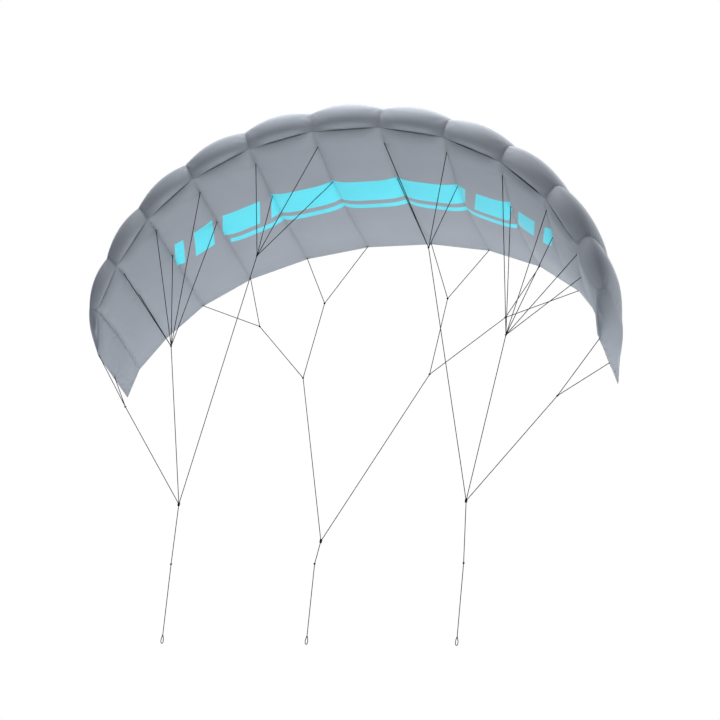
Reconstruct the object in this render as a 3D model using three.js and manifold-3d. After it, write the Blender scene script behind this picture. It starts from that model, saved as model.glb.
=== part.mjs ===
// Three-line trainer kite in flight: an open-nosed canopy of thirteen cells and its bridle.
// Millimetres, +Z up, nose towards -Y, right hand tip towards +X.
// The origin is the bottom of the end loop of the middle (brake) line.

import * as THREE from 'three';
import Module from 'manifold-3d';
import { mergeVertices } from 'three/addons/utils/BufferGeometryUtils.js';

const wasm = await Module();
wasm.setup();

// Cloth of the skins and ribs, and the gap kept between sewn pieces.
const CLOTH = 1.2;
const GAP = 0.3;
const SEAM_HEIGHT = 2 * CLOTH + GAP;
const RIB_INSET = CLOTH + 2.5 * GAP;

// Trailing edge of the middle cell, measured from the origin.
const TRAIL_Y = 287;
const TRAIL_Z = 1923;

// One row a rib, from the two beside the middle cell out to the tips.
// span: distance from the middle. drop: below the middle cell's trailing edge.
// sweep: how far the trailing edge lies ahead of the middle one.
// chord: trailing edge to intake lip. thick: height of the profile over its chord.
const RIBS = [
  { span: 136, drop: 0, sweep: 0, chord: 774, thick: 0.177 },
  { span: 388, drop: 52, sweep: 10, chord: 747, thick: 0.179 },
  { span: 613, drop: 154, sweep: 30, chord: 694, thick: 0.184 },
  { span: 789, drop: 294, sweep: 55, chord: 619, thick: 0.188 },
  { span: 911, drop: 461, sweep: 79, chord: 532, thick: 0.178 },
  { span: 988, drop: 621, sweep: 103, chord: 440, thick: 0.135 },
  { span: 1000, drop: 764, sweep: 127, chord: 322, thick: 0 },
];
const TIP = RIBS.length - 1;
const CELLS = 2 * RIBS.length - 1;

// Profile, as fractions of the chord: the crest's place ahead of the trailing edge, how far the nose
// overhangs the lip, the height of the lip, the belly of the lower skin, and where the nose point
// lies between lip and crest.
const CREST = 0.66;
const OVERHANG = 0.03;
const LIP_HEIGHT = 0.0165;
const BELLY = 0.034;
const NOSE_LEVEL = 0.45;
const AFT_FULLNESS = 1.5;
const LIP_SLOPE = Math.PI / 4;

// Steps along the profile and across a cell.
const AFT_STEPS = 5;
const CREST_STEPS = 6;
const NOSE_STEPS = 3;
const UPPER_STEPS = AFT_STEPS + CREST_STEPS + NOSE_STEPS;
const LOWER_STEPS = 8;
const SPAN_STEPS = 6;

// Air swells each cell: the rise of a skin at mid cell over the cell's width. The hems at the intake
// hold the lips nearly straight, so the swelling dies out over the last share of the way to them.
const UPPER_SWELL = 0.097;
const UPPER_LIP_SWELL = 0;
const LOWER_SWELL = 0.045;
const LOWER_LIP_SWELL = 0.01;
const LIP_REACH = 0.2;
const INTAKE_OPENING = 5;

// The slope of the lower skin on both sides of a seam, where a knot sits in the valley.
const SEAM_VALLEY = 0.4;

// Cords: their radius, the radius of each kind of knot, and the length and width of an end loop.
// A main knot is longer than it is wide, because three lines leave it side by side.
const CORD_SIDES = 8;
const CORD_RADIUS = 1.25;
const END_KNOT = 2.4;
const FAN_KNOT = 4.5;
const MAIN_KNOT = 5;
const MAIN_KNOT_LENGTH = 8.5;
const LOOP_KNOT = 3.5;
const LOOP_LENGTH = 30;
const LOOP_WIDTH = 12;
const LOOP_STEPS = 14;

const GREY_CLOTH = new THREE.MeshStandardMaterial({ color: '#979ca4', roughness: 0.75 });
const DARK_CORD = new THREE.MeshStandardMaterial({ color: '#3a3c40', roughness: 0.8 });

const clamp01 = (value) => Math.min(1, Math.max(0, value));
const smooth = (value) => clamp01(value) ** 2 * (3 - 2 * clamp01(value));

// Frame of a rib: its trailing point, the chord's direction, the way out of the canopy, and the
// way along the span. The rib stands square to the arc of the trailing edge.
function ribFrame(index, side) {
  const place = (row, sign) => new THREE.Vector2(sign * row.span, -row.drop);
  const here = RIBS[index];
  const inner = index === 0 ? place(here, -1) : place(RIBS[index - 1], 1);
  const toHere = place(here, 1).sub(inner).normalize();
  const onward = index === TIP ? toHere.clone() : place(RIBS[index + 1], 1).sub(place(here, 1));
  const along = toHere.add(onward.normalize()).normalize();
  return {
    index,
    chord: here.chord,
    thick: here.thick,
    origin: new THREE.Vector3(side * here.span, TRAIL_Y - here.sweep, TRAIL_Z - here.drop),
    ahead: new THREE.Vector3(0, -1, 0),
    out: new THREE.Vector3(-side * along.y, 0, along.x),
    span: new THREE.Vector3(along.x, 0, side * along.y),
  };
}

// The canopy's fourteen stations from the left tip to the right tip: two tips and twelve ribs.
const STATIONS = [
  ...RIBS.map((row, index) => ribFrame(index, -1)).reverse(),
  ...RIBS.map((row, index) => ribFrame(index, 1)),
];

// Outline of the upper skin over a rib, from the trailing edge over the crest and round the nose
// to the lip. Each point has its place ahead and out, in chords, and the way out of the cloth.
function upperOutline(thick) {
  const noseLevel = LIP_HEIGHT + NOSE_LEVEL * (thick - LIP_HEIGHT);
  const points = [];
  for (let step = 0; step <= AFT_STEPS; step += 1) {
    const part = step / AFT_STEPS;
    points.push([CREST * part, thick * (1 - (1 - part) ** AFT_FULLNESS)]);
  }
  for (let step = 1; step <= CREST_STEPS; step += 1) {
    const turn = (Math.PI / 2) * (step / CREST_STEPS);
    const ahead = CREST + (1 + OVERHANG - CREST) * Math.sin(turn);
    points.push([ahead, noseLevel + (thick - noseLevel) * Math.cos(turn)]);
  }
  const depth = (noseLevel - LIP_HEIGHT) / Math.sin(LIP_SLOPE);
  for (let step = 1; step <= NOSE_STEPS; step += 1) {
    const turn = LIP_SLOPE * (step / NOSE_STEPS);
    const back = OVERHANG * ((1 - Math.cos(turn)) / (1 - Math.cos(LIP_SLOPE)));
    points.push([1 + OVERHANG - back, noseLevel - depth * Math.sin(turn)]);
  }
  return points;
}

// Outline of the lower skin over a rib, from the trailing edge to the intake's lower lip.
function lowerOutline() {
  const points = [];
  for (let step = 0; step <= LOWER_STEPS; step += 1) {
    const ahead = step / LOWER_STEPS;
    points.push([ahead, LIP_HEIGHT * ahead ** 4 - BELLY * Math.sin(Math.PI * ahead)]);
  }
  return points;
}

// Unit ways out of the cloth at each point of an outline; sign is 1 on the upper skin.
function outlineNormals(points, sign) {
  return points.map((point, index) => {
    const before = points[Math.max(0, index - 1)];
    const after = points[Math.min(points.length - 1, index + 1)];
    const run = new THREE.Vector2(after[0] - before[0], after[1] - before[1]).normalize();
    return [-sign * run.y, sign * run.x];
  });
}

// At a tip both skins lie flat on each other, so their outlines are straight and evenly spaced.
function flatOutline(steps) {
  return Array.from({ length: steps + 1 }, (unused, index) => [index / steps, 0]);
}

// One row of a skin at a station: points in space and the ways out of the cloth there.
function skinRow(station, upper) {
  const steps = upper ? UPPER_STEPS : LOWER_STEPS;
  const shaped = upper ? upperOutline(station.thick) : lowerOutline();
  const outline = station.index === TIP ? flatOutline(steps) : shaped;
  const sign = upper ? 1 : -1;
  const normals = station.index === TIP ? outline.map(() => [0, sign]) : outlineNormals(outline, sign);
  const rise = upper ? SEAM_HEIGHT : 0;
  return outline.map(([ahead, out], index) => ({
    point: station.origin.clone()
      .addScaledVector(station.ahead, ahead * station.chord)
      .addScaledVector(station.out, out * station.chord + rise),
    normal: new THREE.Vector3()
      .addScaledVector(station.ahead, normals[index][0])
      .addScaledVector(station.out, normals[index][1]),
  }));
}

// How far a skin rises at mid cell, over the cell's width, at a share of the way to its lip.
function swellAt(part, upper) {
  const [full, lip] = upper ? [UPPER_SWELL, UPPER_LIP_SWELL] : [LOWER_SWELL, LOWER_LIP_SWELL];
  const fade = clamp01((part - 1 + LIP_REACH) / LIP_REACH) ** 3;
  return full * smooth(part / 0.35) + (lip - full) * fade;
}

// How far a lip draws back from the other one at mid cell, at a share of the way to the lip.
function lipShift(part, upper) {
  const share = smooth((part - 1 + LIP_REACH) / LIP_REACH);
  return (upper ? 1 : -1) * (INTAKE_OPENING / 2) * share;
}

// Outer point and way out at one place of a cell's skin: part goes from the trailing edge to the
// lip, across goes from the left station to the right one.
function skinPoint(cell, rows, index, across, upper) {
  const [left, right] = rows.map((row) => row[index]);
  const steps = upper ? UPPER_STEPS : LOWER_STEPS;
  const part = index / steps;
  const bow = 4 * across * (1 - across);
  const normal = left.normal.clone().lerp(right.normal, across).normalize();
  const point = left.point.clone().lerp(right.point, across);
  const width = left.point.distanceTo(right.point);
  const out = STATIONS[cell].out.clone().lerp(STATIONS[cell + 1].out, across).normalize();
  point.addScaledVector(normal, bow * width * swellAt(part, upper));
  point.addScaledVector(out, bow * lipShift(part, upper));
  return { point, normal };
}

// A closed sheet from a grid of outer points and the ways out of the cloth there.
function sheetGeometry(grid) {
  const rows = grid.length;
  const columns = grid[0].length;
  const positions = [];
  for (const inward of [0, CLOTH]) {
    for (const row of grid) {
      for (const { point, normal } of row) {
        positions.push(...point.clone().addScaledVector(normal, -inward).toArray());
      }
    }
  }
  const at = (layer, row, column) => (layer * rows + row) * columns + column;
  const faces = [];
  const quad = (a, b, c, d) => faces.push(a, b, c, a, c, d);
  for (let row = 0; row + 1 < rows; row += 1) {
    for (let column = 0; column + 1 < columns; column += 1) {
      quad(at(0, row, column), at(0, row, column + 1), at(0, row + 1, column + 1), at(0, row + 1, column));
      quad(at(1, row, column), at(1, row + 1, column), at(1, row + 1, column + 1), at(1, row, column + 1));
    }
    const last = columns - 1;
    quad(at(0, row, 0), at(0, row + 1, 0), at(1, row + 1, 0), at(1, row, 0));
    quad(at(0, row, last), at(1, row, last), at(1, row + 1, last), at(0, row + 1, last));
  }
  for (let column = 0; column + 1 < columns; column += 1) {
    const last = rows - 1;
    quad(at(0, 0, column), at(1, 0, column), at(1, 0, column + 1), at(0, 0, column + 1));
    quad(at(0, last, column), at(0, last, column + 1), at(1, last, column + 1), at(1, last, column));
  }
  const geometry = new THREE.BufferGeometry();
  geometry.setAttribute('position', new THREE.Float32BufferAttribute(positions, 3));
  geometry.setIndex(faces);
  return geometry;
}

// Turns a closed geometry's faces round where they point inwards.
function facingOut(geometry) {
  const place = geometry.getAttribute('position');
  const index = geometry.getIndex();
  const corner = (number) => new THREE.Vector3().fromBufferAttribute(place, index.getX(number));
  let volume = 0;
  for (let face = 0; face < index.count; face += 3) {
    volume += corner(face).dot(corner(face + 1).cross(corner(face + 2)));
  }
  if (volume < 0) {
    for (let face = 0; face < index.count; face += 3) {
      const second = index.getX(face + 1);
      index.setX(face + 1, index.getX(face + 2));
      index.setX(face + 2, second);
    }
  }
  return geometry;
}

// One panel of a cell, cut back by half the gap at the stations on both sides.
function panelGeometry(cell, upper) {
  const stations = [STATIONS[cell], STATIONS[cell + 1]];
  const rows = stations.map((station, number) => skinRow(station, upper).map(({ point, normal }) => ({
    point: point.addScaledVector(station.span, (number === 0 ? 1 : -1) * (GAP / 2)),
    normal,
  })));
  const grid = rows[0].map((unused, index) => {
    const line = [];
    for (let step = 0; step <= SPAN_STEPS; step += 1) {
      line.push(skinPoint(cell, rows, index, step / SPAN_STEPS, upper));
    }
    return line;
  });
  return facingOut(sheetGeometry(grid));
}

// A rib fills the profile between the skins, as far back as they leave it room.
function ribGeometry(station) {
  const inset = (points, sign, rise) => {
    const normals = outlineNormals(points, sign);
    return points.map(([ahead, out], index) => new THREE.Vector2(
      ahead * station.chord - normals[index][0] * RIB_INSET,
      out * station.chord + rise - normals[index][1] * RIB_INSET,
    ));
  };
  const top = inset(upperOutline(station.thick), 1, SEAM_HEIGHT).slice(1);
  const bottom = inset(lowerOutline(), -1, 0).slice(1);
  const shape = new THREE.Shape([...bottom, ...top.reverse()]);
  const geometry = new THREE.ExtrudeGeometry(shape, { depth: CLOTH, bevelEnabled: false, steps: 1 });
  return geometry.translate(0, 0, -CLOTH / 2);
}

function addMesh(group, name, geometry, material) {
  const mesh = new THREE.Mesh(geometry, material);
  mesh.name = name;
  group.add(mesh);
  return mesh;
}

// Solids for the cords.
function solidOf(geometry) {
  geometry.deleteAttribute('normal');
  geometry.deleteAttribute('uv');
  const merged = mergeVertices(geometry, 1e-4);
  return new wasm.Manifold(new wasm.Mesh({
    numProp: 3,
    vertProperties: new Float32Array(merged.getAttribute('position').array),
    triVerts: new Uint32Array(merged.getIndex().array),
  }));
}

function geometryOf(solid) {
  const mesh = solid.getMesh();
  const geometry = new THREE.BufferGeometry();
  geometry.setAttribute('position', new THREE.BufferAttribute(mesh.vertProperties, 3));
  geometry.setIndex(new THREE.BufferAttribute(mesh.triVerts, 1));
  return geometry;
}

function cordAlong(extrudePath, steps) {
  const section = new THREE.Shape();
  for (let side = 0; side < CORD_SIDES; side += 1) {
    const turn = (2 * Math.PI * side) / CORD_SIDES;
    const method = side === 0 ? 'moveTo' : 'lineTo';
    section[method](CORD_RADIUS * Math.cos(turn), CORD_RADIUS * Math.sin(turn));
  }
  return solidOf(new THREE.ExtrudeGeometry(section, { extrudePath, steps }));
}

const cordSolid = (from, to) => cordAlong(new THREE.LineCurve3(from, to), 1);

function knotSolid(centre, radius, halfHeight = radius) {
  const ball = new THREE.OctahedronGeometry(radius, 1).scale(1, 1, halfHeight / radius);
  return solidOf(ball.translate(centre.x, centre.y, centre.z));
}

// How far the surface of a main knot lies from its centre, on the way to another point.
function mainKnotReach(centre, to) {
  const way = to.clone().sub(centre).normalize();
  const across = Math.hypot(way.x, way.y) / MAIN_KNOT;
  return 1 / Math.hypot(across, way.z / MAIN_KNOT_LENGTH);
}

// The point on the way from one place to another at a distance from the first.
const towards = (from, to, distance) => from.clone().addScaledVector(to.clone().sub(from).normalize(), distance);

function joined(solids) {
  return geometryOf(solids.reduce((whole, solid) => whole.add(solid)));
}

// Where a bridle line meets the lower skin at a station: ahead is in chords.
function attachment(stationNumber, ahead) {
  const station = STATIONS[stationNumber];
  const atTip = station.index === TIP;
  const out = atTip ? 0 : LIP_HEIGHT * ahead ** 4 - BELLY * Math.sin(Math.PI * ahead);
  const clear = (END_KNOT + GAP) / Math.cos(SEAM_VALLEY);
  return station.origin.clone()
    .addScaledVector(station.ahead, ahead * station.chord)
    .addScaledVector(station.out, out * station.chord - clear);
}

// Rows of the bridle's attachments, in chords ahead of the trailing edge.
const ROW_A = 0.8945;
const ROW_B = 0.635;
const TIP_ROW_A = 0.985;
const TIP_ROW_B = 0.46;
const BRAKE_ROW = 0.012;

// Knots of one half of the bridle, for the right hand side.
const KNOTS = {
  tip: { x: 855, y: -121, z: 944 },
  middle: { x: 664, y: -227, z: 1146 },
  centre: { x: 344, y: -310, z: 1492 },
  main: { x: 558, y: -102, z: 525 },
  leaderEnd: { x: 564, y: -52, z: 300 },
  brakeInner: { x: 258, y: 226, z: 1616 },
  brakeOuter: { x: 512, y: 208, z: 1505 },
  brakeHalf: { x: 259, y: 147, z: 1217 },
};
const BRAKE_KNOT = new THREE.Vector3(0, -27, 405);
const BRAKE_LEADER_END = new THREE.Vector3(0, -50, 300);
const LINE_END = { span: 562, y: -5, z: 30 };

// Ribs that each fan holds, counted outwards from the middle cell.
const FANS = [
  { name: 'tip', ribs: [6] },
  { name: 'middle', ribs: [4, 3, 2] },
  { name: 'centre', ribs: [1, 0] },
];
const BRAKE_FANS = [
  { knot: 'brakeOuter', ribs: [3, 2] },
  { knot: 'brakeInner', ribs: [1, 0] },
];

const stationOf = (rib, side) => (side > 0 ? RIBS.length + rib : RIBS.length - 1 - rib);

function frontRows(rib) {
  return rib === TIP ? [TIP_ROW_A, TIP_ROW_B] : [ROW_A, ROW_B];
}

// A fan: short lines from the lower skin, all gathered in one knot.
function fanGeometry(knot, ribs, side) {
  const solids = [knotSolid(knot, FAN_KNOT)];
  for (const rib of ribs) {
    for (const ahead of frontRows(rib)) {
      const end = attachment(stationOf(rib, side), ahead);
      solids.push(cordSolid(end, knot), knotSolid(end, END_KNOT));
    }
  }
  return joined(solids);
}

function brakeGeometry(knots, side) {
  const solids = [knotSolid(knots.brakeHalf, FAN_KNOT)];
  for (const { knot, ribs } of BRAKE_FANS) {
    solids.push(knotSolid(knots[knot], FAN_KNOT), cordSolid(knots[knot], knots.brakeHalf));
    for (const rib of ribs) {
      const end = attachment(stationOf(rib, side), BRAKE_ROW);
      solids.push(cordSolid(end, knots[knot]), knotSolid(end, END_KNOT));
    }
  }
  const reach = mainKnotReach(BRAKE_KNOT, knots.brakeHalf);
  const stop = towards(BRAKE_KNOT, knots.brakeHalf, reach + GAP);
  solids.push(cordSolid(knots.brakeHalf, stop));
  return joined(solids);
}

// A leader hangs below a main knot and ends in the knot that holds the flying line.
function leaderGeometry(top, bottom) {
  return joined([
    knotSolid(top, MAIN_KNOT, MAIN_KNOT_LENGTH),
    cordSolid(top, bottom),
    knotSolid(bottom, FAN_KNOT),
  ]);
}

// A flying line ends in a knot and a long loop, which hangs on in the line's own direction.
function flyingLineGeometry(top, end) {
  const direction = end.clone().sub(top).normalize();
  const onLoop = (sideways, down) => end.clone()
    .addScaledVector(direction, down * (LOOP_LENGTH - CORD_RADIUS))
    .add(new THREE.Vector3(sideways * (LOOP_WIDTH / 2 - CORD_RADIUS), 0, 0));
  const loop = new THREE.CatmullRomCurve3([
    onLoop(0, 0),
    onLoop(-0.8, 0.4),
    onLoop(-1, 0.75),
    onLoop(0, 1),
    onLoop(1, 0.75),
    onLoop(0.8, 0.4),
    onLoop(0, 0),
  ]);
  const start = towards(top, end, FAN_KNOT + GAP);
  return joined([cordSolid(start, end), knotSolid(end, LOOP_KNOT), cordAlong(loop, LOOP_STEPS)]);
}

const kite = new THREE.Group();
const canopy = new THREE.Group();
const bridle = new THREE.Group();
kite.add(canopy, bridle);

for (let cell = 0; cell < CELLS; cell += 1) {
  addMesh(canopy, `upper_panel_${cell + 1}`, panelGeometry(cell, true), GREY_CLOTH);
  addMesh(canopy, `lower_panel_${cell + 1}`, panelGeometry(cell, false), GREY_CLOTH);
}

STATIONS.slice(1, -1).forEach((station, number) => {
  const rib = addMesh(canopy, `rib_${number + 1}`, ribGeometry(station), GREY_CLOTH);
  const across = station.ahead.clone().cross(station.out);
  const turned = new THREE.Matrix4().makeBasis(station.ahead, station.out, across);
  rib.quaternion.setFromRotationMatrix(turned);
  rib.position.copy(station.origin);
});

for (const [sideName, side] of [['left', -1], ['right', 1]]) {
  const knots = Object.fromEntries(Object.entries(KNOTS).map(([name, place]) => (
    [name, new THREE.Vector3(side * place.x, place.y, place.z)]
  )));
  for (const { name, ribs } of FANS) {
    const main = cordSolid(
      towards(knots.main, knots[name], mainKnotReach(knots.main, knots[name]) + GAP),
      towards(knots[name], knots.main, FAN_KNOT + GAP),
    );
    addMesh(bridle, `bridle_fan_${name}_${sideName}`, fanGeometry(knots[name], ribs, side), DARK_CORD);
    addMesh(bridle, `bridle_main_${name}_${sideName}`, geometryOf(main), DARK_CORD);
  }
  const end = new THREE.Vector3(side * LINE_END.span, LINE_END.y, LINE_END.z);
  addMesh(bridle, `brake_bridle_${sideName}`, brakeGeometry(knots, side), DARK_CORD);
  addMesh(bridle, `leader_${sideName}`, leaderGeometry(knots.main, knots.leaderEnd), DARK_CORD);
  addMesh(bridle, `flying_line_${sideName}`, flyingLineGeometry(knots.leaderEnd, end), DARK_CORD);
}

const middleEnd = new THREE.Vector3(0, LINE_END.y, LINE_END.z);
addMesh(bridle, 'leader_brake', leaderGeometry(BRAKE_KNOT, BRAKE_LEADER_END), DARK_CORD);
addMesh(bridle, 'flying_line_brake', flyingLineGeometry(BRAKE_LEADER_END, middleEnd), DARK_CORD);

export default kite;
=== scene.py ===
# A three-line trainer kite in flight: an open-nosed grey canopy of thirteen cells, blown full of air,
# with a fanned bridle of thin dark cord and three flying lines that end in knotted loops.
# Metres, +Z up, nose towards -Y, right hand tip towards +X.
import math

import bpy
import numpy as np
from mathutils import Matrix, Vector


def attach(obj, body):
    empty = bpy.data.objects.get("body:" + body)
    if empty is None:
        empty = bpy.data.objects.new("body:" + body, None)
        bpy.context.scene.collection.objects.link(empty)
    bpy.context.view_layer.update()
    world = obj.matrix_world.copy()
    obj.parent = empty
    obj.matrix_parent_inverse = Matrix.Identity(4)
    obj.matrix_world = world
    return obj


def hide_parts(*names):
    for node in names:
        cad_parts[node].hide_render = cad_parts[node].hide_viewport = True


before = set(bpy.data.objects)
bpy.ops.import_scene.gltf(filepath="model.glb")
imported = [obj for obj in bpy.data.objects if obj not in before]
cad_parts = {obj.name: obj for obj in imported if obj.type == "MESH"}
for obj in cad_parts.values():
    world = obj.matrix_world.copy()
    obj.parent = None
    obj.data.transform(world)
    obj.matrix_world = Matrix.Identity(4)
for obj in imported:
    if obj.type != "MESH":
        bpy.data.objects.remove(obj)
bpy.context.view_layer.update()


# Camera. It stands low, ahead of the kite and a little to its right, ten metres off with a long lens,
# and looks up under the canopy with a slight tilt.
CAMERA_BEARING = math.radians(21.66)
CAMERA_CLIMB = math.radians(30.31)
CAMERA_TILT = math.radians(9.53)
CAMERA_DISTANCE = 10.13
CAMERA_TARGET = Vector((-0.169, 0.484, 1.504))
CAMERA_LENS = 124.43

sight = Vector((
    -math.sin(CAMERA_BEARING) * math.cos(CAMERA_CLIMB),
    math.cos(CAMERA_BEARING) * math.cos(CAMERA_CLIMB),
    math.sin(CAMERA_CLIMB),
))
level = Vector((math.cos(CAMERA_BEARING), math.sin(CAMERA_BEARING), 0))
right = level * math.cos(CAMERA_TILT) + level.cross(sight) * math.sin(CAMERA_TILT)
camera = bpy.data.objects.new("camera", bpy.data.cameras.new("camera"))
camera.data.lens = CAMERA_LENS
camera.data.sensor_width = 36
camera.data.clip_end = 200
camera.matrix_world = Matrix.LocRotScale(
    CAMERA_TARGET - sight * CAMERA_DISTANCE,
    Matrix((right, right.cross(sight), -sight)).transposed(),
    None,
)
bpy.context.scene.collection.objects.link(camera)
bpy.context.scene.camera = camera


# Cord. Bridle and flying lines are braided polyester cord, 3 mm thick and almost black. It gives
# a dull dark thread with a fine slanting braid.
CORD_RADIUS = 0.0015
CORD_SIDES = 12
# Edges of a smooth piece that turn by more than this stay crisp.
SHARP_ANGLE = math.radians(50)
CORD_COLOUR = "#0d0e10"
# Painted highlight: the braid's raised ridges are painted this lighter colour, and its grooves keep the dark
# cord colour as painted shade.
CORD_RIDGE_HIGHLIGHT = "#24272b"
BRAID_PITCH = 0.006
BRAID_STRANDS = 4
BRAID_DEPTH = 0.00015


def linear(hex_colour):
    """The linear colour of an sRGB hex value."""
    srgb = np.array([int(hex_colour[at : at + 2], 16) for at in (1, 3, 5)]) / 255
    rgb = np.where(srgb <= 0.04045, srgb / 12.92, ((srgb + 0.055) / 1.055) ** 2.4)
    return (*rgb.tolist(), 1.0)


def new_material(name):
    """A node material with an empty tree."""
    material = bpy.data.materials.new(name)
    material.use_nodes = True
    material.node_tree.nodes.clear()
    return material


def add_node(tree, kind, inputs=None, **settings):
    """Adds a node with its settings. An input that is a socket is linked, any other is set."""
    node = tree.nodes.new(kind)
    for name, value in settings.items():
        setattr(node, name, value)
    for key, value in (inputs or {}).items():
        if isinstance(value, bpy.types.NodeSocket):
            tree.links.new(value, node.inputs[key])
        else:
            node.inputs[key].default_value = value
    return node


def braided_cord():
    """Braided polyester: two families of strands wind round the cord against each other, and each
    is a sine of the way along and the way round. Where they cross, the cord stands highest."""
    material = new_material("braided_polyester_cord")
    tree = material.node_tree
    place = add_node(tree, "ShaderNodeUVMap", uv_map="cord")
    way = add_node(tree, "ShaderNodeSeparateXYZ", {0: place.outputs[0]})
    turns = add_node(tree, "ShaderNodeMath", {0: way.outputs[0], 1: 1 / BRAID_PITCH}, operation="MULTIPLY")
    strands = []
    for hand in (-1, 1):
        round_it = add_node(
            tree,
            "ShaderNodeMath",
            {0: way.outputs[1], 1: hand * BRAID_STRANDS, 2: turns.outputs[0]},
            operation="MULTIPLY_ADD",
        )
        angle = add_node(
            tree, "ShaderNodeMath", {0: round_it.outputs[0], 1: 2 * math.pi}, operation="MULTIPLY"
        )
        strands.append(add_node(tree, "ShaderNodeMath", {0: angle.outputs[0]}, operation="SINE"))
    braid = add_node(
        tree, "ShaderNodeMath", {0: strands[0].outputs[0], 1: strands[1].outputs[0]}, operation="MAXIMUM"
    )
    height = add_node(tree, "ShaderNodeMapRange", {0: braid.outputs[0], 1: -1.0, 2: 1.0})
    # Painted highlight and shade: the colour follows the braid's height, lighter on the ridges and darker in
    # the grooves.
    colour = add_node(
        tree,
        "ShaderNodeMix",
        {0: height.outputs[0], 6: linear(CORD_COLOUR), 7: linear(CORD_RIDGE_HIGHLIGHT)},
        data_type="RGBA",
    )
    bump = add_node(tree, "ShaderNodeBump", {"Distance": BRAID_DEPTH, "Height": height.outputs[0]})
    shader = add_node(
        tree,
        "ShaderNodeBsdfPrincipled",
        {
            "Base Color": colour.outputs[2],
            "Roughness": 0.7,
            "Specular IOR Level": 0.05,
            "Normal": bump.outputs[0],
        },
    )
    add_node(tree, "ShaderNodeOutputMaterial", {0: shader.outputs[0]})
    return material


def unit(vectors):
    """Vectors over their own lengths."""
    return vectors / np.linalg.norm(vectors, axis=-1, keepdims=True)


def corners_of(grid):
    """The four corners of each cell of a grid, going round, for vertex numbers or UV pairs alike."""
    corners = [grid[:-1, :-1], grid[:-1, 1:], grid[1:, 1:], grid[1:, :-1]]
    return np.stack(corners, axis=2).reshape(-1, 4, *grid.shape[2:])


def add_piece(name, points, patches, material):
    """A smooth mesh object from points and patches. A patch is an array of faces, by the numbers of
    their corners, and a dictionary of UV pairs for those corners by the name of the map."""
    mesh = bpy.data.meshes.new(name)
    mesh.from_pydata(points.tolist(), [], [face for faces, _ in patches for face in faces.tolist()])
    for map_name in patches[0][1]:
        pairs = [maps[map_name].reshape(-1) for _, maps in patches]
        mesh.uv_layers.new(name=map_name).data.foreach_set("uv", np.concatenate(pairs))
    mesh.polygons.foreach_set("use_smooth", np.ones(len(mesh.polygons), bool))
    mesh.set_sharp_from_angle(angle=SHARP_ANGLE)
    mesh.materials.append(material)
    piece = bpy.data.objects.new(name, mesh)
    bpy.context.scene.collection.objects.link(piece)
    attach(piece, "root")
    return piece


def tube(path, radius, closed=False):
    """A round tube along a path: each ring is the path's point plus the radius times the cosine and
    sine of the way round, on two axes square to the path. A closed path joins up with itself, and
    an open one has flat ends."""
    if closed:
        run = np.roll(path, -1, axis=0) - np.roll(path, 1, axis=0)
        upright = path - path.mean(axis=0)
        joints = len(path) + 1
    else:
        run = np.gradient(path, axis=0)
        upright = np.broadcast_to([0.0, 1.0, 0.0], path.shape)
        joints = len(path)
    first = unit(np.cross(run, upright))
    second = unit(np.cross(first, run))
    turn = np.linspace(0, 2 * math.pi, CORD_SIDES, endpoint=False)[None, :, None]
    rings = path[:, None] + radius * (np.cos(turn) * first[:, None] + np.sin(turn) * second[:, None])
    numbers = np.arange(len(path) * CORD_SIDES).reshape(len(path), CORD_SIDES)
    numbers = np.take(numbers, np.arange(joints), axis=0, mode="wrap")
    numbers = np.take(numbers, np.arange(CORD_SIDES + 1), axis=1, mode="wrap")
    steps = np.linalg.norm(np.diff(np.take(path, np.arange(joints), axis=0, mode="wrap"), axis=0), axis=1)
    reached = np.concatenate([[0.0], np.cumsum(steps)])
    places = np.stack(np.meshgrid(reached, np.linspace(0, 1, CORD_SIDES + 1), indexing="ij"), axis=-1)
    patches = [(corners_of(numbers)[:, ::-1], {"cord": corners_of(places)[:, ::-1]})]
    if not closed:
        for end in (numbers[0, :-1], numbers[-1, -2::-1]):
            patches.append((end[None, :], {"cord": np.zeros((1, CORD_SIDES, 2))}))
    return rings.reshape(-1, 3), patches


def joined(tubes):
    """Several tubes as one set of points and patches."""
    points = []
    patches = []
    count = 0
    for tube_points, tube_patches in tubes:
        patches += [(faces + count, maps) for faces, maps in tube_patches]
        points.append(tube_points)
        count += len(tube_points)
    return np.concatenate(points), patches


cord_material = braided_cord()


# Knots. Every line is tied with an overhand knot: small ones where it is tied to the seams of the
# lower skin, larger ones where a fan is gathered, and long wound ones where three lines meet.
KNOT_STEPS = 60
BARREL_TURNS = 4
BARREL_STEPS = 120
# Radii of a knot at a seam, of one that gathers a fan, and of a wound one, with half its length, and
# the radius of the knot above an end loop.
END_KNOT = 0.0024
FAN_KNOT = 0.0045
MAIN_KNOT = 0.005
MAIN_KNOT_HALF = 0.0085
LOOP_KNOT = 0.0035
# Of an overhand knot, in its radius: the strand's own radius, its swing, and its rise over the swing.
KNOT_STRAND = 0.28
KNOT_SWING = 0.24
KNOT_RISE = 1.9
# How far a wound knot is drawn in at its ends, and the power that keeps it even up to there.
BARREL_DRAW_IN = 0.7
BARREL_POWER = 12


def overhand_knot(centre, size):
    """A closed trefoil in a ball of the given radius: its distance from the axis and its height swing
    three times, as a cosine and a sine, while it goes round twice."""
    strand = KNOT_STRAND * size
    swing = KNOT_SWING * size
    middle = size - strand - swing
    turn = np.linspace(0, 2 * math.pi, KNOT_STEPS, endpoint=False)
    away = middle + swing * np.cos(3 * turn)
    height = KNOT_RISE * swing * np.sin(3 * turn)
    path = np.stack([away * np.cos(2 * turn), away * np.sin(2 * turn), height], axis=-1)
    return tube(centre + path, strand, closed=True)


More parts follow.
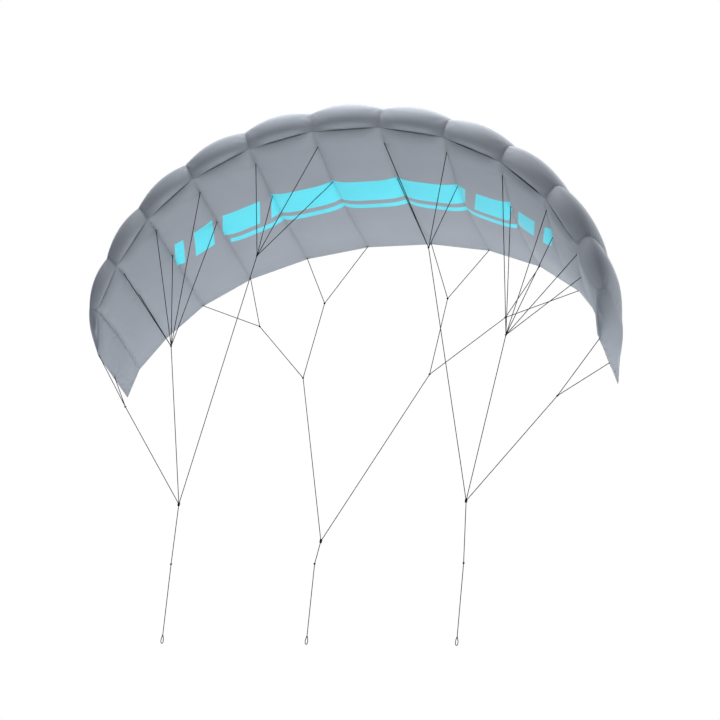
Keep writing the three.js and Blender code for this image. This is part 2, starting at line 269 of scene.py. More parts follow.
def barrel_knot(centre):
    """A line wound round itself: a helix of the cord's own thickness, drawn in at both ends."""
    share = np.linspace(-1, 1, BARREL_STEPS)
    away = (MAIN_KNOT - CORD_RADIUS) * (1 - BARREL_DRAW_IN * np.abs(share) ** BARREL_POWER)
    turn = math.pi * BARREL_TURNS * share
    height = (MAIN_KNOT_HALF - CORD_RADIUS) * share
    path = np.stack([away * np.cos(turn), away * np.sin(turn), height], axis=-1)
    return tube(centre + path, CORD_RADIUS)


# Bridle. Three fans a side hold the front of the canopy in two rows, ahead and behind, and three main
# lines gather them over a leader. A brake bridle holds the trailing edge. All of it is the same cord,
# tied with knots to the seams of the lower skin and where lines meet.
SIDES = {"left": -1, "right": 1}
# Ribs that each fan holds, counted outwards from the middle cell.
FANS = {"tip": (6,), "middle": (4, 3, 2), "centre": (1, 0)}
BRAKE_FANS = {"brake_outer": (3, 2), "brake_inner": (1, 0)}
# Places of the right half's knots, and of the middle line's.
KNOTS = {
    "tip": (0.855, -0.121, 0.944),
    "middle": (0.664, -0.227, 1.146),
    "centre": (0.344, -0.310, 1.492),
    "main": (0.558, -0.102, 0.525),
    "leader_end": (0.564, -0.052, 0.300),
    "brake_inner": (0.258, 0.226, 1.616),
    "brake_outer": (0.512, 0.208, 1.505),
    "brake_half": (0.259, 0.147, 1.217),
}
BRAKE_KNOT = np.array([0.0, -0.027, 0.405])
BRAKE_LEADER_END = np.array([0.0, -0.050, 0.300])
# Shares of the chord at which the lines are tied: ahead and behind, and the brake's.
TIED_ROWS = {"rib": (0.8945, 0.635), "tip": (0.985, 0.46)}
BRAKE_ROW = 0.012
# A tie's knot lies in the valley of its seam, which has this slope in radians, and just clears it.
SEAM_VALLEY = 0.4
GAP = 0.0003
# The lines are tied at the two bare tips and at the twelve ribs between them, the stations. The table
# has one column a rib, from the two beside the middle cell out to the tips: its distance from the
# middle, how far its trailing edge lies below and ahead of the middle one, its chord, and the height
# of the profile over its chord.
RIBS = {
    "span": (0.136, 0.388, 0.613, 0.789, 0.911, 0.988, 1.000),
    "drop": (0.0, 0.052, 0.154, 0.294, 0.461, 0.621, 0.764),
    "sweep": (0.0, 0.010, 0.030, 0.055, 0.079, 0.103, 0.127),
    "chord": (0.774, 0.747, 0.694, 0.619, 0.532, 0.440, 0.322),
    "thick": (0.177, 0.179, 0.184, 0.188, 0.178, 0.135, 0.0),
}
# The middle of the trailing edge.
TRAIL_Y = 0.287
TRAIL_Z = 1.923
STATIONS = 2 * len(RIBS["span"])
AHEAD = np.array([0.0, -1.0, 0.0])
# The lip's height over the chord line and the belly of the lower skin, in chords.
LIP_HEIGHT = 0.0165
BELLY = 0.034
# Rings of a line's tube: how far apart they are, and how few there may be.
CORD_RING_GAP = 0.02
CORD_RINGS_LEAST = 4


def both_halves(name, left_sign=1):
    """A column of the rib table for all stations: the left half mirrored, then the right half."""
    column = np.array(RIBS[name])
    return np.concatenate([left_sign * column[::-1], column])


span = both_halves("span", -1)
drop = both_halves("drop")
chord = both_halves("chord")
trail = np.column_stack([span, TRAIL_Y - both_halves("sweep"), TRAIL_Z - drop])
# A rib stands square to the arc of the trailing edge, so the way along the arc at a station is the
# mean of the ways to its two neighbours.
to_next = unit(np.diff(np.column_stack([span, -drop]), axis=0))
along = unit(np.vstack([to_next[:1], to_next[:-1] + to_next[1:], to_next[-1:]]))
outward = np.column_stack([-along[:, 1], np.zeros(STATIONS), along[:, 0]])


def is_tip(station):
    """The two outer stations are the tips, which have no rib."""
    return station in (0, STATIONS - 1)


def tied_rows(station):
    """Shares of the chord at which the lines ahead and behind are tied to a station."""
    return TIED_ROWS["tip" if is_tip(station) else "rib"]


def lower_outline(way):
    """Profile of the lower skin, in chords, at shares of the way from trailing edge to lip: a sine
    belly, and a fourth power that lifts the lip."""
    return np.stack([way, LIP_HEIGHT * way**4 - BELLY * np.sin(math.pi * way)], axis=-1)


def station_of(rib, side):
    """Number of the station of a rib that is counted outwards from the middle cell."""
    return STATIONS // 2 + rib if side > 0 else STATIONS // 2 - 1 - rib


def tie(station, share):
    """Centre of the knot that holds a line to the lower skin at a share of the chord."""
    height = 0 if is_tip(station) else lower_outline(np.array(share))[1]
    clear = (END_KNOT + GAP) / math.cos(SEAM_VALLEY)
    below = height * chord[station] - clear
    return trail[station] + AHEAD * share * chord[station] + outward[station] * below


def knot_place(name, side):
    """Place of a named knot: the right half's, or mirrored for the left half."""
    return np.array(KNOTS[name]) * (side, 1, 1)


def add_line(name, start, end, node):
    """A taut straight cord from one knot's centre to another's. It stands for a CAD node, whose part it
    hides."""
    length = float(np.linalg.norm(end - start))
    path = np.linspace(start, end, max(CORD_RINGS_LEAST, round(length / CORD_RING_GAP)))
    line = add_piece(name, *tube(path, CORD_RADIUS), cord_material)
    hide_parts(node)


def add_knots(name, tubes, node):
    """The knots of one stretch of the bridle, as one piece that stands for the same CAD node."""
    knots = add_piece(name, *joined(tubes), cord_material)
    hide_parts(node)


for side_name, side in SIDES.items():
    main = knot_place("main", side)
    for fan, ribs in FANS.items():
        node = f"bridle_fan_{fan}_{side_name}"
        gather = knot_place(fan, side)
        knots = [overhand_knot(gather, FAN_KNOT)]
        for rib in ribs:
            station = station_of(rib, side)
            for row_name, share in zip("ab", tied_rows(station), strict=True):
                start = tie(station, share)
                knots.append(overhand_knot(start, END_KNOT))
                add_line(f"fan_line_{side_name}_{rib + 1}{row_name}", start, gather, node)
        add_knots(f"fan_knots_{fan}_{side_name}", knots, node)
        add_line(f"main_line_{fan}_{side_name}", gather, main, f"bridle_main_{fan}_{side_name}")

    node = f"brake_bridle_{side_name}"
    half = knot_place("brake_half", side)
    knots = [overhand_knot(half, FAN_KNOT)]
    for fan, ribs in BRAKE_FANS.items():
        gather = knot_place(fan, side)
        knots.append(overhand_knot(gather, FAN_KNOT))
        for rib in ribs:
            start = tie(station_of(rib, side), BRAKE_ROW)
            knots.append(overhand_knot(start, END_KNOT))
            add_line(f"brake_fan_line_{side_name}_{rib + 1}", start, gather, node)
        add_line(f"{fan}_line_{side_name}", gather, half, node)
    add_line(f"brake_line_{side_name}", half, BRAKE_KNOT, node)
    add_knots(f"brake_knots_{side_name}", knots, node)


# Leaders and flying lines, of the same cord. A leader hangs under each wound knot, and a flying line is
# knotted to its end. They end here in the loops that the flyer's own lines are hitched to.
LINE_END = {"span": 0.562, "y": -0.005, "z": 0.030}
LOOP_LENGTH = 0.030
LOOP_WIDTH = 0.012
LOOP_FULLNESS = 0.35
LOOP_STEPS = 56


def end_loop(knot, direction):
    """A teardrop loop hanging from a knot along the line: down it by one minus the cosine of the way
    round, and out to both sides by its sine, fuller in the lower half."""
    turn = np.linspace(0, 2 * math.pi, LOOP_STEPS, endpoint=False)[:, None]
    down = (LOOP_LENGTH - CORD_RADIUS) * (1 - np.cos(turn)) / 2
    out = (LOOP_WIDTH / 2 - CORD_RADIUS) * np.sin(turn) * (1 - LOOP_FULLNESS * np.cos(turn))
    return tube(knot + direction * down - np.array([1.0, 0.0, 0.0]) * out, CORD_RADIUS, closed=True)


ends = {}
for name, side in SIDES.items():
    ends[name] = (knot_place("main", side), knot_place("leader_end", side), side)
ends["brake"] = (BRAKE_KNOT, BRAKE_LEADER_END, 0)
for name, (top, middle, side) in ends.items():
    bottom = np.array([side * LINE_END["span"], LINE_END["y"], LINE_END["z"]])
    add_line(f"leader_line_{name}", top, middle, f"leader_{name}")
    add_knots(f"leader_knots_{name}", [barrel_knot(top), overhand_knot(middle, FAN_KNOT)], f"leader_{name}")
    add_line(f"flying_line_cord_{name}", middle, bottom, f"flying_line_{name}")
    add_knots(
        f"flying_line_loop_{name}",
        [overhand_knot(bottom, LOOP_KNOT), end_loop(bottom, unit(bottom - middle))],
        f"flying_line_{name}",
    )


# Ripstop nylon. All of the canopy is one thin grey cloth, woven with a square grid of thicker threads
# and coated. It gives a smooth dull face with a faint grid, a soft sheen, and lets a little light by.
CLOTH_COLOUR = "#9fa4ac"
CLOTH_THICK = 0.0010
# Share of the light that goes into each face of the cloth to come out at the other, and its tint.
THROUGH = 0.20
THROUGH_COLOUR = "#d8dce2"
# Squares of the thick threads, and the share of a square that such a thread takes.
RIPSTOP_PITCH = 0.006
RIPSTOP_THREAD = 0.1
RIPSTOP_DEPTH = 0.00008
# Rows of stitches: how far from the seam, and a stitch's length, width, and the shares of its length
# at which the thread comes up and goes down.
STITCH_ROWS = (0.003, 0.007)
STITCH_LENGTH = 0.0035
STITCH_WIDTH = 0.0005
STITCH_UP = 0.1
STITCH_DOWN = 0.85
# Width of the doubled cloth beside a seam, which is also darkened there as painted shade along the seam, and
# how soft its edge is.
SEAM_ALLOWANCE = 0.010
SEAM_EDGE = 0.0005
# Blotches of the dye: how many to a metre, and by how much they change the shade.
BLOTCHES = 9.0
BLOTCH_SHADE = 0.025
# Change of the shade on the thick threads, on the doubled cloth beside a seam, which is darkened partly for
# the doubling and partly as painted shade along the seam, and on the stitches.
THREAD_SHADE = 0.035
DOUBLED_CLOTH_AND_PAINTED_SHADE = -0.05
STITCH_SHADE = -0.12
# How far a stitch stands proud, in depths of the grid.
STITCH_RISE = 3.0


def between(tree, value, low, high, soft):
    """One where a value lies between two limits, nought outside, with soft edges."""
    steps = []
    for start, end in ((low - soft, low + soft), (high + soft, high - soft)):
        limits = {0: value, 1: start, 2: end}
        step = add_node(tree, "ShaderNodeMapRange", limits, interpolation_type="SMOOTHSTEP")
        steps.append(step.outputs[0])
    return add_node(tree, "ShaderNodeMath", dict(enumerate(steps)), operation="MULTIPLY").outputs[0]


def highest(tree, values):
    """The largest of several values."""
    most = values[0]
    for value in values[1:]:
        most = add_node(tree, "ShaderNodeMath", {0: most, 1: value}, operation="MAXIMUM").outputs[0]
    return most


def ripstop_nylon(name, add_print=None):
    """Coated ripstop: thick threads take the first share of each square of the cut, both ways, and the
    stitches are short dashes in rows along the seams. add_print, where given, takes the dyed colour
    and gives the socket of the printed one."""
    material = new_material(name)
    tree = material.node_tree
    cut = add_node(tree, "ShaderNodeUVMap", uv_map="cut")
    squares = add_node(
        tree, "ShaderNodeVectorMath", {0: cut.outputs[0], "Scale": 1 / RIPSTOP_PITCH}, operation="SCALE"
    )
    in_square = add_node(tree, "ShaderNodeVectorMath", {0: squares.outputs[0]}, operation="FRACTION")
    both_ways = add_node(tree, "ShaderNodeSeparateXYZ", {0: in_square.outputs[0]}).outputs[:2]
    grid = highest(tree, [between(tree, way, 0.0, RIPSTOP_THREAD, RIPSTOP_THREAD / 2) for way in both_ways])
    seam = add_node(tree, "ShaderNodeUVMap", uv_map="seam")
    from_seam, run = add_node(tree, "ShaderNodeSeparateXYZ", {0: seam.outputs[0]}).outputs[:2]
    rows = highest(
        tree,
        [between(tree, from_seam, row, row + STITCH_WIDTH, STITCH_WIDTH / 3) for row in STITCH_ROWS],
    )
    beat = add_node(tree, "ShaderNodeMath", {0: run, 1: STITCH_LENGTH}, operation="MODULO")
    up, down = (STITCH_UP * STITCH_LENGTH, STITCH_DOWN * STITCH_LENGTH)
    dash = between(tree, beat.outputs[0], up, down, STITCH_UP / 2 * STITCH_LENGTH)
    stitches = add_node(tree, "ShaderNodeMath", {0: rows, 1: dash}, operation="MULTIPLY").outputs[0]
    # Doubled cloth beside each seam, painted darker partly for the second layer and partly as painted shade
    # along the seam.
    doubled_cloth_and_painted_shade = between(tree, from_seam, -1.0, SEAM_ALLOWANCE, SEAM_EDGE)

    place = add_node(tree, "ShaderNodeTexCoord").outputs["Object"]
    blotches = add_node(tree, "ShaderNodeTexNoise", {"Vector": place, "Scale": BLOTCHES, "Detail": 3.0})
    shades = {0: blotches.outputs[0], 1: 0.3, 2: 0.7, 3: 1 - BLOTCH_SHADE, 4: 1 + BLOTCH_SHADE}
    shade = add_node(tree, "ShaderNodeMapRange", shades).outputs[0]
    for mask, change in ((grid, THREAD_SHADE), (doubled_cloth_and_painted_shade, DOUBLED_CLOTH_AND_PAINTED_SHADE), (stitches, STITCH_SHADE)):
        shade = add_node(
            tree, "ShaderNodeMath", {0: mask, 1: change, 2: shade}, operation="MULTIPLY_ADD"
        ).outputs[0]
    dyed = linear(CLOTH_COLOUR)
    if add_print:
        dyed = add_print(tree, dyed)
    colour = add_node(
        tree, "ShaderNodeVectorMath", {0: dyed if add_print else dyed[:3], "Scale": shade}, operation="SCALE"
    )
    height = add_node(
        tree, "ShaderNodeMath", {0: stitches, 1: STITCH_RISE, 2: grid}, operation="MULTIPLY_ADD"
    )
    bump = add_node(tree, "ShaderNodeBump", {"Distance": RIPSTOP_DEPTH, "Height": height.outputs[0]})
    face = add_node(
        tree,
        "ShaderNodeBsdfPrincipled",
        {
            "Base Color": colour.outputs[0],
            "Roughness": 0.6,
            "Specular IOR Level": 0.35,
            "Sheen Weight": 0.45,
            "Sheen Roughness": 0.4,
            "Normal": bump.outputs[0],
        },
    )
    through = add_node(tree, "ShaderNodeBsdfTranslucent", {"Color": linear(THROUGH_COLOUR)})
    mixed = add_node(tree, "ShaderNodeMixShader", {0: THROUGH, 1: face.outputs[0], 2: through.outputs[0]})
    add_node(tree, "ShaderNodeOutputMaterial", {0: mixed.outputs[0]})
    return material


def add_cloth(name, node, outer, inward, maps, material):
    """A thin closed sheet: the outer points, the same points moved inwards by the cloth's thickness,
    and a rim round both. maps gives each map's UV pairs on the grid. It returns the piece, its
    largest width and length over the surface, and its area."""
    rows, columns = outer.shape[:2]
    face = np.arange(rows * columns).reshape(rows, columns)
    back = face + rows * columns
    rim = np.concatenate([face[0, :-1], face[:-1, -1], face[-1, :0:-1], face[:0:-1, 0]])
    ring = np.append(rim, rim[0])
    edge = np.stack([ring[1:], ring[:-1], ring[:-1] + rows * columns, ring[1:] + rows * columns], axis=-1)
    faces = np.concatenate([corners_of(face), corners_of(back)[:, ::-1], edge])
    points = np.concatenate([outer.reshape(-1, 3), (outer + inward * CLOTH_THICK).reshape(-1, 3)])
    first, second, third, fourth = (points[faces[:, corner]] for corner in range(4))
    volume = (first * np.cross(second, third)).sum() + (first * np.cross(third, fourth)).sum()
    if volume < 0:
        faces = faces[:, ::-1]
    pairs = {key: np.tile(grid.reshape(-1, 2), (2, 1))[faces] for key, grid in maps.items()}
    piece = add_piece(name, points, [(faces, pairs)], material)
    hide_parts(node)
    wide = np.linalg.norm(np.diff(outer, axis=1), axis=2).sum(axis=1)
    long = np.linalg.norm(np.diff(outer, axis=0), axis=2).sum(axis=0)
    diagonals = (outer[1:, 1:] - outer[:-1, :-1], outer[1:, :-1] - outer[:-1, 1:])
    area = np.linalg.norm(np.cross(*diagonals), axis=2).sum() / 2
    return piece, (float(wide.max()), float(long.max())), float(area)


# Ribs. Twelve flat ribs of the same cloth stand between the skins and give the cells their profile.
# Each is sewn to both skins along its edge, so it stays inside them and shows only in the intakes.
RIB_ROWS = 72
RIB_COLUMNS = 14
# The profile of the upper skin, in chords: the crest's place ahead of the trailing edge, how far the
# nose overhangs the lip, and where the nose point lies between lip and crest.
CREST = 0.66
OVERHANG = 0.03
NOSE_LEVEL = 0.45
# The power of its curve behind the crest, and the angle that its arc under the nose turns through.
AFT_FULLNESS = 1.5
LIP_SLOPE = math.pi / 4
# Shares of the way from trailing edge to lip at which the crest and the nose point are reached.
CREST_WAY = 5 / 14
NOSE_WAY = 11 / 14
# How far inside the skins a rib's edge lies, and the upper skin's height over the lower at a seam.
RIB_INSET = 0.00195
SEAM_HEIGHT = 0.0027
# The rib stops a little behind the lips, which are hemmed together there.
RIB_END = 0.985
# Shares of the way at which its upper and its lower edge begin.
RIB_TOP_START = 1 / 14
RIB_BOTTOM_START = 1 / 8

thick = both_halves("thick")
sideways = np.column_stack([along[:, 0], np.zeros(STATIONS), along[:, 1]])


def upper_outline(way, thickness):
    """Profile of the upper skin, in chords, at shares of the way from trailing edge to lip: a power
    curve up to the crest, a quarter ellipse on to the nose point, and an arc back to the lip."""
    nose = LIP_HEIGHT + NOSE_LEVEL * (thickness - LIP_HEIGHT)
    aft = np.clip(way / CREST_WAY, 0, 1)
    fore = np.clip((way - CREST_WAY) / (NOSE_WAY - CREST_WAY), 0, 1) * math.pi / 2
    under = np.clip((way - NOSE_WAY) / (1 - NOSE_WAY), 0, 1) * LIP_SLOPE
    tuck = OVERHANG * (1 - np.cos(under)) / (1 - math.cos(LIP_SLOPE))
    place = np.where(
        way <= CREST_WAY, CREST * aft, CREST + (1 + OVERHANG - CREST) * np.sin(fore) - tuck
    )
    height = np.where(
        way <= CREST_WAY,
        thickness * (1 - (1 - aft) ** AFT_FULLNESS),
        nose + (thickness - nose) * np.cos(fore) - (nose - LIP_HEIGHT) * np.sin(under) / math.sin(LIP_SLOPE),
    )
    return np.stack([place, height], axis=-1)


def outline_normals(outline, sign):
    """Unit ways out of the cloth along an outline: its own run, turned by a quarter."""
    run = unit(np.gradient(outline, axis=0))
    return sign * np.stack([-run[:, 1], run[:, 0]], axis=-1)


def in_space(station, flat):
    """Points ahead and out on a station, in metres, as points in space."""
    return trail[station] + flat[..., :1] * AHEAD + flat[..., 1:] * outward[station]


rib_cloth = ripstop_nylon("ripstop_nylon_ribs")
for station in range(1, STATIONS - 1):
    way = np.linspace(RIB_TOP_START, RIB_END, RIB_ROWS)
    top = upper_outline(way, thick[station])
    top = (top * chord[station] + (0, SEAM_HEIGHT)) - outline_normals(top, 1) * RIB_INSET
    way = np.linspace(RIB_BOTTOM_START, RIB_END, RIB_ROWS)
    bottom = lower_outline(way)
    bottom = bottom * chord[station] - outline_normals(bottom, -1) * RIB_INSET
    share = np.linspace(0, 1, RIB_COLUMNS)[None, :, None]
    flat = bottom[:, None] * (1 - share) + top[:, None] * share
    surface = in_space(station, flat) - sideways[station] * CLOTH_THICK / 2
    from_edge = np.minimum(share, 1 - share)[..., 0] * np.linalg.norm(top - bottom, axis=1)[:, None]
    piece, size, area = add_cloth(
        f"rib_cloth_{station}",
        f"rib_{station}",
        surface,
        np.broadcast_to(sideways[station], surface.shape),
        {"cut": flat, "seam": np.stack([from_edge, flat[..., 0]], axis=-1)},
        rib_cloth,
    )


# Lower skin. Thirteen panels of grey ripstop, one a cell, printed with plain bright bars. They are
# hemmed at the trailing edge and at the intake, and sewn to the ribs and to the upper panels. Ram air
# swells them, their seams pucker a little, and short folds spread from the lines' ties.
CELLS = STATIONS - 1
# Steps of the mesh along a cell and across it. The columns crowd towards the seams, by a sine of this
# share of the width.
LOWER_STEPS = 88
SPAN_STEPS = 34
CROWDING = 0.07
# Swelling at mid cell, in cell widths, where it is full and at the lip. It falls to the lip's by a power
# of the way, which is higher by shut_power in a cell whose intake is shut.
LOWER_SWELL = {"full": 0.056, "lip": 0.01, "power": 6, "shut_power": 0}
UPPER_SWELL = {"full": 0.097, "lip": 0.0, "power": 3, "shut_power": 7}
# Shares of the way over which a skin swells from its trailing edge, and turns in to its lip.
TRAIL_REACH = 0.35
LIP_REACH = 0.2
# How much further apart than at the seams the lips are moved at mid cell.
INTAKE_OPENING = 0.0003
# Towards the tips the intakes close: chord at which one is shut, and how much longer an open one is.
SHUT_CHORD = 0.44
OPEN_CHORD = 0.25
# Beside each seam the lips lie together: shares of the cell's width, from its left and from its right
# seam, at which they begin to part and are fully parted.
LIP_MEET = {"left": (0.13, 0.40), "right": (0.05, 0.20)}
# In a nearly shut cell they part later on the side of the tip, by this share of the width.
TIP_MEET = 0.6
# Where they lie together the upper lip comes down, and laps the lower one ahead, over the last share of
# the way.
LIP_DROP = 0.0027
LIP_LAP = 0.0005
LIP_DROP_REACH = 0.06
# A hem's width, how far it stands proud of the single cloth, and the width of the step between them.
HEM_WIDTH = 0.009
HEM_RISE = 0.0004
HEM_STEP = 0.001
# Extra rows of points, in hem widths from the edge.
HEM_ROWS = np.array([0.3, 0.6, 0.9, 1.0, 1.06, 1.12, 1.3])
# Puckers at a seam: height, where off the seam they are highest, and length. The drift makes them uneven:
# by how much of a pucker, and over how many.
PUCKER_HEIGHT = 0.00035
PUCKER_REACH = 0.012
PUCKER_LENGTH = 0.031
PUCKER_DRIFT = 0.35
PUCKER_DRIFT_COUNT = 5.3
# Folds that spread from each tie, and from a point on each seam of the nose, so far above the lip on the
# longest chord.
TIE_FOLD = {"height": 0.0009, "reach": 0.022, "count": 6}
NOSE_FOLD = {"height": 0.0004, "reach": 0.030, "count": 6}
NOSE_FOLD_PLACE = 0.085
# Behind the intake the lower skin bellies out a little more, so it turns in steeply to its lip.
THROAT_HEIGHT = 0.004
THROAT_REACH = 0.032
# Flutter of the trailing edge: height, how soon it dies out ahead of the edge, and length along it.
FLUTTER_HEIGHT = 0.0010
FLUTTER_REACH = 0.045
FLUTTER_LENGTH = 0.105
# Puckers, folds and flutter fade out over this last stretch before an edge, which its hem holds.
EDGE_FADE = 0.02
# The print is flat bright ink, through which the grid of the cloth shows: how soft its edges are, and
# how much the bars' ends slant.
INK_COLOUR = "#66f0ff"
INK_EDGE = 0.0004
BAR_SLANT = -0.35
# Slanted bars: from and to along the span, and how far ahead of the middle trailing edge both edges lie.
BARS = (
    {"from": -0.86, "to": -0.82, "near": 0.38, "far": 0.50},
    {"from": -0.77, "to": -0.68, "near": 0.38, "far": 0.50},
    {"from": -0.63, "to": -0.47, "near": 0.38, "far": 0.50},
    {"from": -0.42, "to": 0.42, "near": 0.38, "far": 0.50},
    {"from": 0.47, "to": 0.63, "near": 0.38, "far": 0.50},
    {"from": 0.68, "to": 0.77, "near": 0.38, "far": 0.50},
    {"from": 0.82, "to": 0.86, "near": 0.38, "far": 0.50},
    {"from": -0.63, "to": 0.63, "near": 0.33, "far": 0.355},
)

widths = np.linalg.norm(np.diff(trail, axis=0), axis=1)
cell_starts = np.concatenate([[0.0], np.cumsum(widths)[:-1]]) - widths.sum() / 2


def smooth(value):
    """The usual soft step from nought to one."""
    value = np.clip(value, 0, 1)
    return value**2 * (3 - 2 * value)


def skin_row(station, way, upper):
    """Points and ways out of the cloth along one station. At a tip both skins lie flat together."""
    sign = 1 if upper else -1
    outline = upper_outline(way, thick[station]) if upper else lower_outline(way)
    normals = outline_normals(outline, sign)
    if is_tip(station):
        outline = np.stack([way, 0 * way], axis=-1)
        normals = np.broadcast_to([0.0, sign], outline.shape)
    points = in_space(station, outline * chord[station] + (0, SEAM_HEIGHT if upper else 0))
    return points, normals[:, :1] * AHEAD + normals[:, 1:] * outward[station]


def swelling(way, upper, openness):
    """How far a skin rises at mid cell over the cell's width: soon full, and little at the lip, which
    its hem holds nearly straight. The higher the power, the nearer the lip the skin turns in, and a
    shut cell's nose stays full for longer."""
    swell = UPPER_SWELL if upper else LOWER_SWELL
    near_lip = np.clip((way - 1 + LIP_REACH) / LIP_REACH, 0, 1)
    power = swell["power"] + swell["shut_power"] * (1 - openness)
    return swell["full"] * smooth(way / TRAIL_REACH) + (swell["lip"] - swell["full"]) * near_lip**power


def puckers(away, run, station):
    """Small waves square to a seam: nothing at the seam, highest a little way off and then dying
    out, of a length that changes slowly along it."""
    share = away / PUCKER_REACH
    drift = PUCKER_DRIFT * np.sin(2 * math.pi * run / (PUCKER_DRIFT_COUNT * PUCKER_LENGTH) + station)
    return PUCKER_HEIGHT * share * np.exp(1 - share) * np.sin(2 * math.pi * (run / PUCKER_LENGTH + drift))


def spreading_folds(away, run, centre, fold):
    """Ridges that spread from a point on a seam: a cosine of the direction from that point, fading
    with the distance from it."""
    distance = np.hypot(away, run - centre)
    direction = np.arctan2(run - centre, away)
    share = distance / fold["reach"]
    return fold["height"] * share * np.exp(1 - share) * np.cos(fold["count"] * direction)


def hem(from_edge):
    """The turned hem stands a little proud of the single cloth beside it."""
    return HEM_RISE * (1 - smooth((from_edge - HEM_WIDTH) / HEM_STEP))


def hem_rows(steps, trailing_share, lip_share):
    """Rows from trailing edge to lip, with extra ones where the hems begin."""
    even = np.linspace(0, 1, steps + 1)
    return np.unique(np.concatenate([even, HEM_ROWS * trailing_share, 1 - HEM_ROWS * lip_share]))


def lip_shift(cell, upper, rows, across, openness):
    """How far the lips leave the places that the seams give them. Where they part, by soft steps
    between two shares of the width, they move away from each other. Elsewhere the upper one comes
    down and ahead, and laps the lower."""
    parted = openness
    tip_side = "left" if cell < CELLS // 2 else "right"
    for side_name, away in (("left", across), ("right", 1 - across)):
        shut, fully = LIP_MEET[side_name]
        later = TIP_MEET * (1 - openness) if side_name == tip_side else 0
        parted = parted * smooth((away - shut - later) / (fully - shut))
    out = unit(outward[cell] * (1 - across) + outward[cell + 1] * across)
    near_lip = smooth((rows - 1 + LIP_REACH) / LIP_REACH)[:, None, None]
    if not upper:
        return -out * parted * near_lip * INTAKE_OPENING / 2
    at_lip = smooth((rows - 1 + LIP_DROP_REACH) / LIP_DROP_REACH)[:, None, None]
    lapped = (1 - parted) * at_lip * (AHEAD * LIP_LAP - out * LIP_DROP)
    return out * parted * near_lip * INTAKE_OPENING / 2 + lapped


def small_relief(cell, upper, run, from_left, from_right):
    """How far puckers, folds and flutter lift the cloth, by the distances run from the trailing edge
    and from both seams. The flutter is a sine across the cell times a parabola, and dies out ahead of
    the trailing edge. All fade out before the edges, where the hems stand."""
    from_lip = run[-1:] - run
    share = from_left / (from_left + from_right)
    relief = puckers(from_left, run, cell) + puckers(from_right, run, cell + 1)
    flutter = np.exp(-run / FLUTTER_REACH) * np.sin(2 * math.pi * from_left / FLUTTER_LENGTH + cell)
    relief += FLUTTER_HEIGHT * 4 * share * (1 - share) * flutter
    for station, away in ((cell, from_left), (cell + 1, from_right)):
        if upper:
            centre = NOSE_FOLD_PLACE * chord[station] / chord.max()
            relief += spreading_folds(away, from_lip, centre, NOSE_FOLD)
        else:
            for row in tied_rows(station):
                relief += spreading_folds(away, run, row * chord[station], TIE_FOLD)
    relief *= np.minimum(1, np.minimum(run, from_lip) / EDGE_FADE)
    return relief + hem(run) + hem(from_lip)


def add_skin(cell, upper, rows, material):
    """One panel. Its points run straight from station to station, plus the swelling times a bow
    across the cell, which is a parabola, or a fourth power for the flatter lower skin. Then come the
    lips' shift, the small relief and the throat, these two along the way out of the cloth."""
    left_end, left_normals = skin_row(cell, rows, upper)
    right_end, right_normals = skin_row(cell + 1, rows, upper)
    left_end = left_end + sideways[cell] * GAP / 2
    right_end = right_end - sideways[cell + 1] * GAP / 2
    even = np.linspace(0, 1, SPAN_STEPS + 1)
    across = (even - CROWDING * np.sin(2 * math.pi * even))[None, :, None]
    points = left_end[:, None] * (1 - across) + right_end[:, None] * across
    normals = unit(left_normals[:, None] * (1 - across) + right_normals[:, None] * across)
    width = np.linalg.norm(right_end - left_end, axis=1)[:, None, None]
    bow = 4 * across * (1 - across) if upper else 1 - (2 * across - 1) ** 4
    openness = smooth(((chord[cell] + chord[cell + 1]) / 2 - SHUT_CHORD) / OPEN_CHORD)
    points = points + normals * bow * width * swelling(rows, upper, openness)[:, None, None]
    points = points + lip_shift(cell, upper, rows, across, openness)

    steps = np.linalg.norm(np.diff(points, axis=0), axis=2)
    run = np.pad(np.cumsum(steps, axis=0), [(1, 0), (0, 0)])
    from_left = (across * width)[..., 0]
    from_right = ((1 - across) * width)[..., 0]
    relief = small_relief(cell, upper, run, from_left, from_right)
    if not upper:
        share = (run[-1:] - run) / THROAT_REACH
        relief += THROAT_HEIGHT * bow[..., 0] * share * np.exp(1 - share)
    points = points + normals * relief[..., None]

    over_span = cell_starts[cell] + from_left
    maps = {
        "cut": np.stack([over_span, run], axis=-1),
        "seam": np.stack([np.minimum(from_left, from_right), run], axis=-1),
    }
    if not upper:
        maps["print"] = np.stack([over_span, TRAIL_Y - points[..., 1]], axis=-1)
    kind = "upper" if upper else "lower"
    piece, size, area = add_cloth(
        f"{kind}_skin_{cell + 1}", f"{kind}_panel_{cell + 1}", points, -normals, maps, material
    )


def bars(tree, dyed):
    """Printed bars: ink where the place on the skin lies between a bar's two edges, and between its
    two ends, which slant."""
    place = add_node(tree, "ShaderNodeUVMap", uv_map="print")
    over_span, over_chord = add_node(tree, "ShaderNodeSeparateXYZ", {0: place.outputs[0]}).outputs[:2]
    leaning = add_node(
        tree, "ShaderNodeMath", {0: over_chord, 1: BAR_SLANT, 2: over_span}, operation="MULTIPLY_ADD"
    ).outputs[0]
    inked = []
    for bar in BARS:
        lean = BAR_SLANT * (bar["near"] + bar["far"]) / 2
        length = between(tree, leaning, bar["from"] + lean, bar["to"] + lean, INK_EDGE)
        breadth = between(tree, over_chord, bar["near"], bar["far"], INK_EDGE)
        inked.append(
            add_node(tree, "ShaderNodeMath", {0: length, 1: breadth}, operation="MULTIPLY").outputs[0]
        )
    mix = add_node(
        tree, "ShaderNodeMix", {0: highest(tree, inked), 6: dyed, 7: linear(INK_COLOUR)}, data_type="RGBA"
    )
    return mix.outputs[2]


